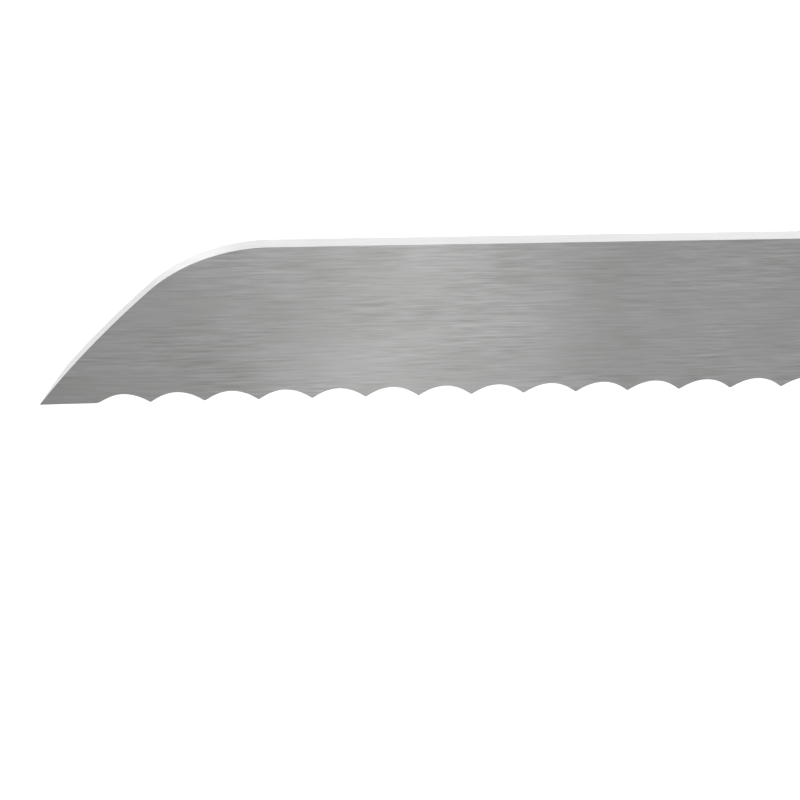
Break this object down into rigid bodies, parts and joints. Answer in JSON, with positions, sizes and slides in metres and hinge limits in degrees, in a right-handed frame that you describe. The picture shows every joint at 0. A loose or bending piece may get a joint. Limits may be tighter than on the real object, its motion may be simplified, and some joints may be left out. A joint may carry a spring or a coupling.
{
  "type": "bread knife",
  "caption": "Bread knife: flat-ground scalloped blade with a drop tip, full tang, steel bolster, and riveted wooden handle with a tube-lined hanging hole.",
  "frame": {"origin": "halfway along the whole knife, in the middle of its thickness, on the plane that the points of the scallops touch", "axes": "+X along the knife from the tip to the butt, +Y from the flat left side to the ground right side, +Z from the edge up to the spine"},
  "size_m": [0.381, 0.0186, 0.0318],
  "materials": {
    "blade_steel": "stainless steel, belt-brushed along the blade",
    "bolster_steel": "stainless steel, fine satin",
    "liner_fibre": "vulcanised fibre sheet, edges sanded flush",
    "handle_wood": "dark close-grained hardwood, oiled and buffed to a low sheen",
    "rivet_steel": "stainless steel, heads sanded flush and buffed"
  },
  "bodies": {
    "root": {"blade": "blade_steel", "left_bolster": "bolster_steel", "right_bolster": "bolster_steel", "upper_bolster_pin": "bolster_steel", "lower_bolster_pin": "bolster_steel", "left_liner": "liner_fibre", "right_liner": "liner_fibre", "left_scale": "handle_wood", "right_scale": "handle_wood", "front_rivet_tube": "rivet_steel", "front_rivet_pin": "rivet_steel", "middle_rivet_tube": "rivet_steel", "middle_rivet_pin": "rivet_steel", "rear_rivet_tube": "rivet_steel", "rear_rivet_pin": "rivet_steel", "hanging_tube": "rivet_steel"}
  },
  "joints": []
}
